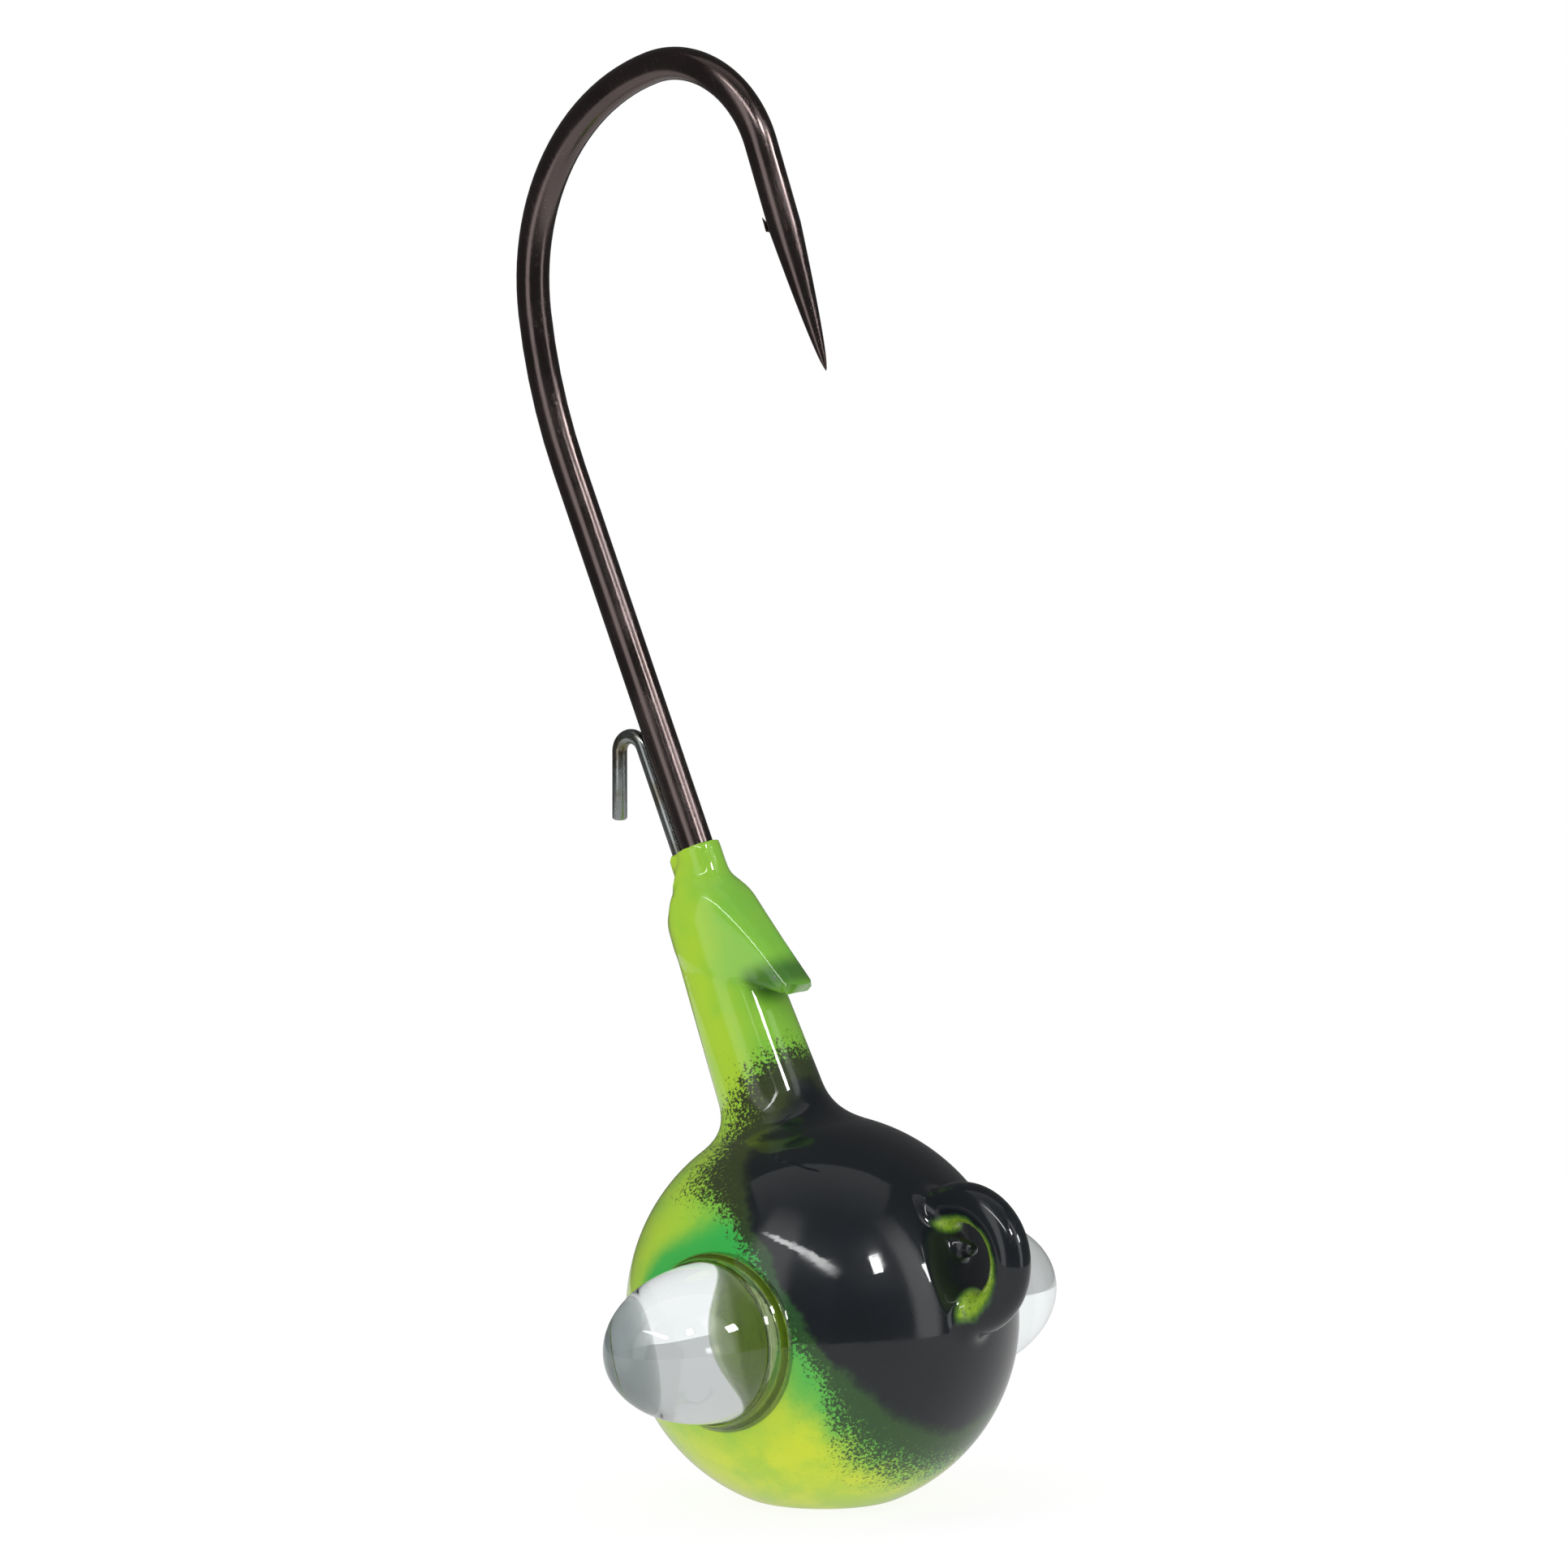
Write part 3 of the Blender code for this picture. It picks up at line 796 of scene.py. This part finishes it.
def slope_of(field, points, step=0.004):
    sides = []
    for axis in range(3):
        shift = np.zeros(3)
        shift[axis] = step
        sides.append((field(points + shift) - field(points - shift)) / (2 * step))
    return np.stack(sides, 1)


points = mesh_points(head.data)
for _ in range(8):
    distance = head_field(points)
    slope = slope_of(head_field, points)
    steepness = np.maximum((slope**2).sum(1), 0.2)
    move = -0.8 * (distance / steepness)[:, None] * slope
    size = np.linalg.norm(move, axis=1, keepdims=True)
    points += move * np.minimum(1, 0.25 / np.maximum(size, 1e-9))
head.data.vertices.foreach_set("co", points.ravel())
head.data.update()
print(f"head: furthest point off its form {np.abs(head_field(points)).max():.4f} mm")

# %% [markdown]
# ## The painted head: where the colours go
#
# The painter worked by hand: the black cap covers the back of the ball round the line eye and climbs the
# near side of the collar, green was misted round the eyes and along the cap's edge, and the rest stayed
# lime. Painted shade darkens the collar's side towards the line eye and the hollow under the barb, and
# the socket floors carry a painted reflection of the bright room. The places follow the form, so each
# point stores its measures as attributes: how far inside the cap it is, how far from the eyes' axis and
# from the middle, how far up the shank and towards the line eye, and how far from the ring's wire and
# centre. The shader then breaks their edges with noise as fine as the spray's drops.

# %% Paint guides
def ramp(values, low, high):
    share = np.clip((values - low) / (high - low), 0, 1)
    return share**2 * (3 - 2 * share)


x, y, z = points.T
cap_lean = radians(12.2)
cap = cos(cap_lean) * x + sin(cap_lean) * z - 0.2325 * y**2 / ball_radius - 0.35 * ball_radius
cap -= 1.3 * ramp(z, 4.6, 6.8) + 3.4 * ramp(z, 6.7, 8.8)
low_in_ring = (-(x - eyelet.x) * 0.3 - (z - eyelet.z) * 0.95) / eyelet_radius
guides = {
    "inside_cap": cap,
    "from_eye": np.hypot(x - eye_axis[0], z - eye_axis[1]),
    "up_shank": z,
    "to_ring": np.hypot(np.hypot(x - eyelet.x, z - eyelet.z) - eyelet_radius, y),
    "ring_side": np.hypot(x - eyelet.x, z - eyelet.z) - 0.25 * low_in_ring,
    "to_tie": x,
    "from_middle": np.abs(y),
}
for name, values in guides.items():
    store = head.data.attributes.new(name, "FLOAT", "POINT")
    store.data.foreach_set("value", values.astype(np.float32))
    print(f"{name}: {values.min():.1f} to {values.max():.1f} mm")

# %% [markdown]
# The paint is solvent enamel under a thick clear coat. Principled's own coat layer is the clear: it
# gives the small, sharp, white highlights over the colour. The lime is a little yellower at the nose,
# where it pooled. Airbrushed black thins out at the cap's edge into separate drops about a tenth of a
# millimetre wide, and lime seen between black drops reads as olive. Brush marks under the clear make
# the reflections' edges slightly ragged.

# %% Enamel
enamel, tree, shader = new_material("airbrushed_enamel_under_clear_coat")
where = object_space(tree)
inside_cap = attribute(tree, "inside_cap")
from_eye = attribute(tree, "from_eye")
up_shank = attribute(tree, "up_shank")
to_tie = attribute(tree, "to_tie")
mottle = noise(tree, where, 1.7, detail=4.0, rough=0.55)
drift = noise(tree, where, 0.8, detail=5.0, rough=0.65)
fine = noise(tree, where, 0.1, detail=3.0, rough=0.7)
specks = fade(tree, fine, 0.3, 0.7)


def product(*terms):
    result = terms[0]
    for term in terms[1:]:
        result = maths(tree, "MULTIPLY", result, term)
    return result


def wavered(source, pattern, reach_mm):
    return maths(tree, "MULTIPLY_ADD", maths(tree, "SUBTRACT", pattern, 0.5), reach_mm, source)


# %% Lime and green
nose = fade(tree, wavered(up_shank, mottle, 5.0), 1.0, -4.5)
lime = blend(tree, nose, "#A9CF31", "#C9DA2A")
patches = fade(tree, mottle, 0.42, 0.66)
lime = blend(tree, product(patches, 0.45), lime, "#86C43C")
# Painted shade: the collar's side towards the line eye is darkened to green.
painted_shade_side = product(fade(tree, to_tie, 0.9, 2.4), fade(tree, up_shank, 6.5, 7.5))
lime = blend(tree, product(painted_shade_side, 0.55), lime, "#5CB644")
band = fade(tree, wavered(inside_cap, drift, 1.4), -2.5, -0.7)
band = product(band, fade(tree, up_shank, 5.5, 2.5, 0.25, 0.9))
lime = blend(tree, band, lime, "#48B346")
halo = fade(tree, wavered(from_eye, mottle, 1.2), 3.9, 3.0)
halo = product(halo, fade(tree, up_shank, -2.6, 0.8, 0.15, 0.95))
lime = blend(tree, halo, lime, "#2FB04A")

# %% Black cap
width = fade(tree, from_eye, 3.4, 5.0, 0.35, 1.0)
edge = maths(tree, "DIVIDE", wavered(inside_cap, drift, 0.9), width)
share = fade(tree, edge, -3.2, 0.6)
sprayed = fade(tree, maths(tree, "ADD", share, maths(tree, "MULTIPLY", specks, 0.8)), 0.72, 1.0)
mist = fade(tree, edge, -1.3, 0.7)
covered = maths(tree, "MAXIMUM", product(sprayed, 0.8), mist)
stray = product(fade(tree, fine, 0.63, 0.68), fade(tree, edge, -4.0, -1.0), 0.7)
covered = maths(tree, "MAXIMUM", covered, stray)
# Painted shadow: the hollow under the barb's overhang is darkened to deep green.
shadow_under_barb = product(
    fade(tree, up_shank, 9.3, 10.0), fade(tree, up_shank, 10.9, 10.2), fade(tree, to_tie, 1.95, 2.35)
)
lime = blend(tree, product(shadow_under_barb, 0.75), lime, "#1F4F20")

ring_lime = fade(tree, wavered(attribute(tree, "ring_side"), drift, 0.5), 1.72, 1.4)
ring_lime = product(ring_lime, fade(tree, attribute(tree, "to_ring"), 0.95, 0.7))
ring_lime = product(ring_lime, fade(tree, fine, 0.3, 0.55, 0.5, 0.95))
covered = product(covered, fade(tree, up_shank, 9.0, 8.0))
covered = product(covered, maths(tree, "SUBTRACT", 1.0, ring_lime))
in_socket = fade(tree, from_eye, 2.72, 2.63)
covered = product(covered, maths(tree, "SUBTRACT", 1.0, in_socket))

olive = product(fade(tree, covered, 0.02, 0.4), fade(tree, up_shank, 0.5, 4.0, 0.35, 0.8))
under = blend(tree, olive, lime, "#5E6020")
under = blend(tree, ring_lime, under, "#9DBE35")
under = blend(tree, product(in_socket, 0.9), under, "#C4E23C")
paint = blend(tree, covered, under, blend(tree, mottle, "#0E1318", "#161C22"))
# Painted reflection: the socket's floor gets a pale blue-grey that stands for the bright room seen
# inside the dome.
floor_of_socket = product(
    fade(tree, attribute(tree, "from_middle"), socket_floor + 0.12, socket_floor + 0.03), in_socket
)
wall_specks = product(in_socket, fade(tree, fine, 0.52, 0.66), 0.25)
paint = blend(tree, wall_specks, paint, "#2A5A1C")
paint = blend(tree, floor_of_socket, paint, blend(tree, mottle, "#D0DAE0", "#E8EEF0"))
tree.links.new(paint, shader.inputs["Base Color"])

# %% Clear coat
shader.inputs["Roughness"].default_value = 0.4
shader.inputs["Specular IOR Level"].default_value = 0.15
shader.inputs["Coat Weight"].default_value = 1.0
shader.inputs["Coat IOR"].default_value = 1.5
dry = product(fade(tree, drift, 0.42, 0.6), fade(tree, wavered(to_tie, mottle, 1.5), 2.6, 3.6))
dry = product(dry, fade(tree, up_shank, 3.6, 2.4), fade(tree, attribute(tree, "to_ring"), 0.8, 1.6))
tree.links.new(
    maths(tree, "MULTIPLY_ADD", dry, 0.1, 0.015), shader.inputs["Coat Roughness"]
)
sag = noise(tree, where, 2.4, detail=1.0)
ripple = noise(tree, shank_space(tree, (0.4, 0.4, 2.2)), 0.35, detail=3.0, in_mm=True)
surface = maths(tree, "MULTIPLY_ADD", ripple, 0.1, sag)
tree.links.new(bump(tree, surface, 0.35, 0.05), shader.inputs["Coat Normal"])
tree.links.new(bump(tree, fine, 0.15, 0.01), shader.inputs["Normal"])
finish(head, enamel, "lime_black_enamel", "paint_coat")

# %% [markdown]
# ## The casting
#
# The lead itself is taken to show only on the nose, where a gate is trimmed off. Its CAD node
# already has the right shape, so it stays and gets a better finish. Cut lead is a dull blue-grey metal
# that greys over within days, with the nippers' fine lines across it.

# %% Cut lead
lead, tree, shader = new_material("cut_lead")
where = object_space(tree)
bloom = noise(tree, where, 0.9, detail=5.0, rough=0.6)
cuts = noise(tree, shank_space(tree, (1, 0.05, 1)), 0.08, in_mm=True)
tree.links.new(blend(tree, bloom, "#7C8186", "#A5A9AB"), shader.inputs["Base Color"])
tree.links.new(fade(tree, bloom, 0.3, 0.7, 0.38, 0.6), shader.inputs["Roughness"])
tree.links.new(bump(tree, cuts, 0.5, 0.02), shader.inputs["Normal"])
shader.inputs["Metallic"].default_value = 1.0
casting = frame["nodes"]["lead_casting"]
casting.data.materials.clear()
casting.data.materials.append(lead)
print("casting keeps its CAD shape,", len(casting.data.polygons), "faces")

# %% [markdown]
# ## The eyes
#
# Each eye is a clear moulded dome, a half egg whose flat back is seated in the socket. Its outline is
# turned: a quarter ellipse down to the shoulder, then straight, with a small chamfer at the foot. A
# full spin with use_merge closes it. The foot stops two hundredths of a millimetre short of the
# socket's floor, so that the two faces don't lie in one plane.

# %% Turned pieces
def turned(name, outline, side, segments=96):
    """A closed solid spun round the eyes' axis from (radius, distance from the hook's plane)."""
    form = bmesh.new()
    verts = [form.verts.new((eye_axis[0] + r, side * d, eye_axis[1])) for r, d in outline]
    edges = [form.edges.new(pair) for pair in zip(verts, verts[1:])]
    bmesh.ops.spin(
        form,
        geom=edges,
        cent=(eye_axis[0], 0, eye_axis[1]),
        axis=(0, 1, 0),
        angle=2 * pi,
        steps=segments,
        use_merge=True,
    )
    return to_object(name, form)


# %% Domes
eye_radius = 2.48
eye_shoulder = 5.66
eye_crown = 4.198
eye_seat = socket_floor + 0.02
arc_steps = 28
dome = [
    (
        eye_radius * sin(pi / 2 * i / arc_steps),
        eye_shoulder + eye_crown * cos(pi / 2 * i / arc_steps),
    )
    for i in range(arc_steps + 1)
]
dome[0] = (0.0, eye_shoulder + eye_crown)
dome += [(eye_radius, eye_seat + 0.12), (eye_radius - 0.12, eye_seat), (0.0, eye_seat)]
eyes = {side: turned(f"dome_{name}", dome, side) for side, name in ((-1, "left"), (1, "right"))}

# %% Clear dome material
clear, tree, shader = new_material("moulded_clear_acrylic")
haze = noise(tree, object_space(tree), 0.8, detail=5.0)
tree.links.new(blend(tree, haze, "#FBFEFE", "#F3FAFA"), shader.inputs["Base Color"])
tree.links.new(fade(tree, haze, 0.45, 0.8, 0.0, 0.02), shader.inputs["Roughness"])
shader.inputs["Transmission Weight"].default_value = 1.0
shader.inputs["IOR"].default_value = 1.58
for side, name in ((-1, "left"), (1, "right")):
    finish(eyes[side], clear, "clear_dome", f"eye_{name}", sharp=35)

# %% [markdown]
# ## The cement beads
#
# Where the clear coat and the cement creep up the foot of a dome they leave a bead. A real one is
# thickest at the bottom, where it ran, and this one is even all round, since its cross-section, a small
# concave wedge between the dome and the ball, is spun like the dome. It goes under the ball's surface,
# so no gap shows.

# %% Beads
bead_foot = 2.82
bead_top = 5.95
bead_outline = [(eye_radius + 0.012, 4.9), (eye_radius + 0.012, bead_top)]
bead_steps = 8
for i in range(bead_steps + 1):
    t = i / bead_steps
    bead_outline.append(
        (eye_radius + 0.05 + (bead_foot - eye_radius - 0.05) * t, bead_top - 0.02 - 0.62 * t**0.6)
    )
bead_outline += [(bead_foot, 4.9), (eye_radius + 0.012, 4.9)]
beads = {side: turned(f"bead_{name}", bead_outline, side) for side, name in ((-1, "left"), (1, "right"))}

# %% Clear cement material
cement, tree, shader = new_material("clear_epoxy_bead")
run = noise(tree, object_space(tree), 0.9, detail=3.0)
tree.links.new(blend(tree, run, "#EAF3C4", "#D3E59A"), shader.inputs["Base Color"])
tree.links.new(fade(tree, run, 0.3, 0.8, 0.01, 0.06), shader.inputs["Roughness"])
tree.links.new(bump(tree, run, 0.3, 0.05), shader.inputs["Normal"])
shader.inputs["Transmission Weight"].default_value = 1.0
shader.inputs["IOR"].default_value = 1.5
for side, name in ((-1, "left"), (1, "right")):
    finish(beads[side], cement, "clear_cement", f"eye_cement_{name}", sharp=45)
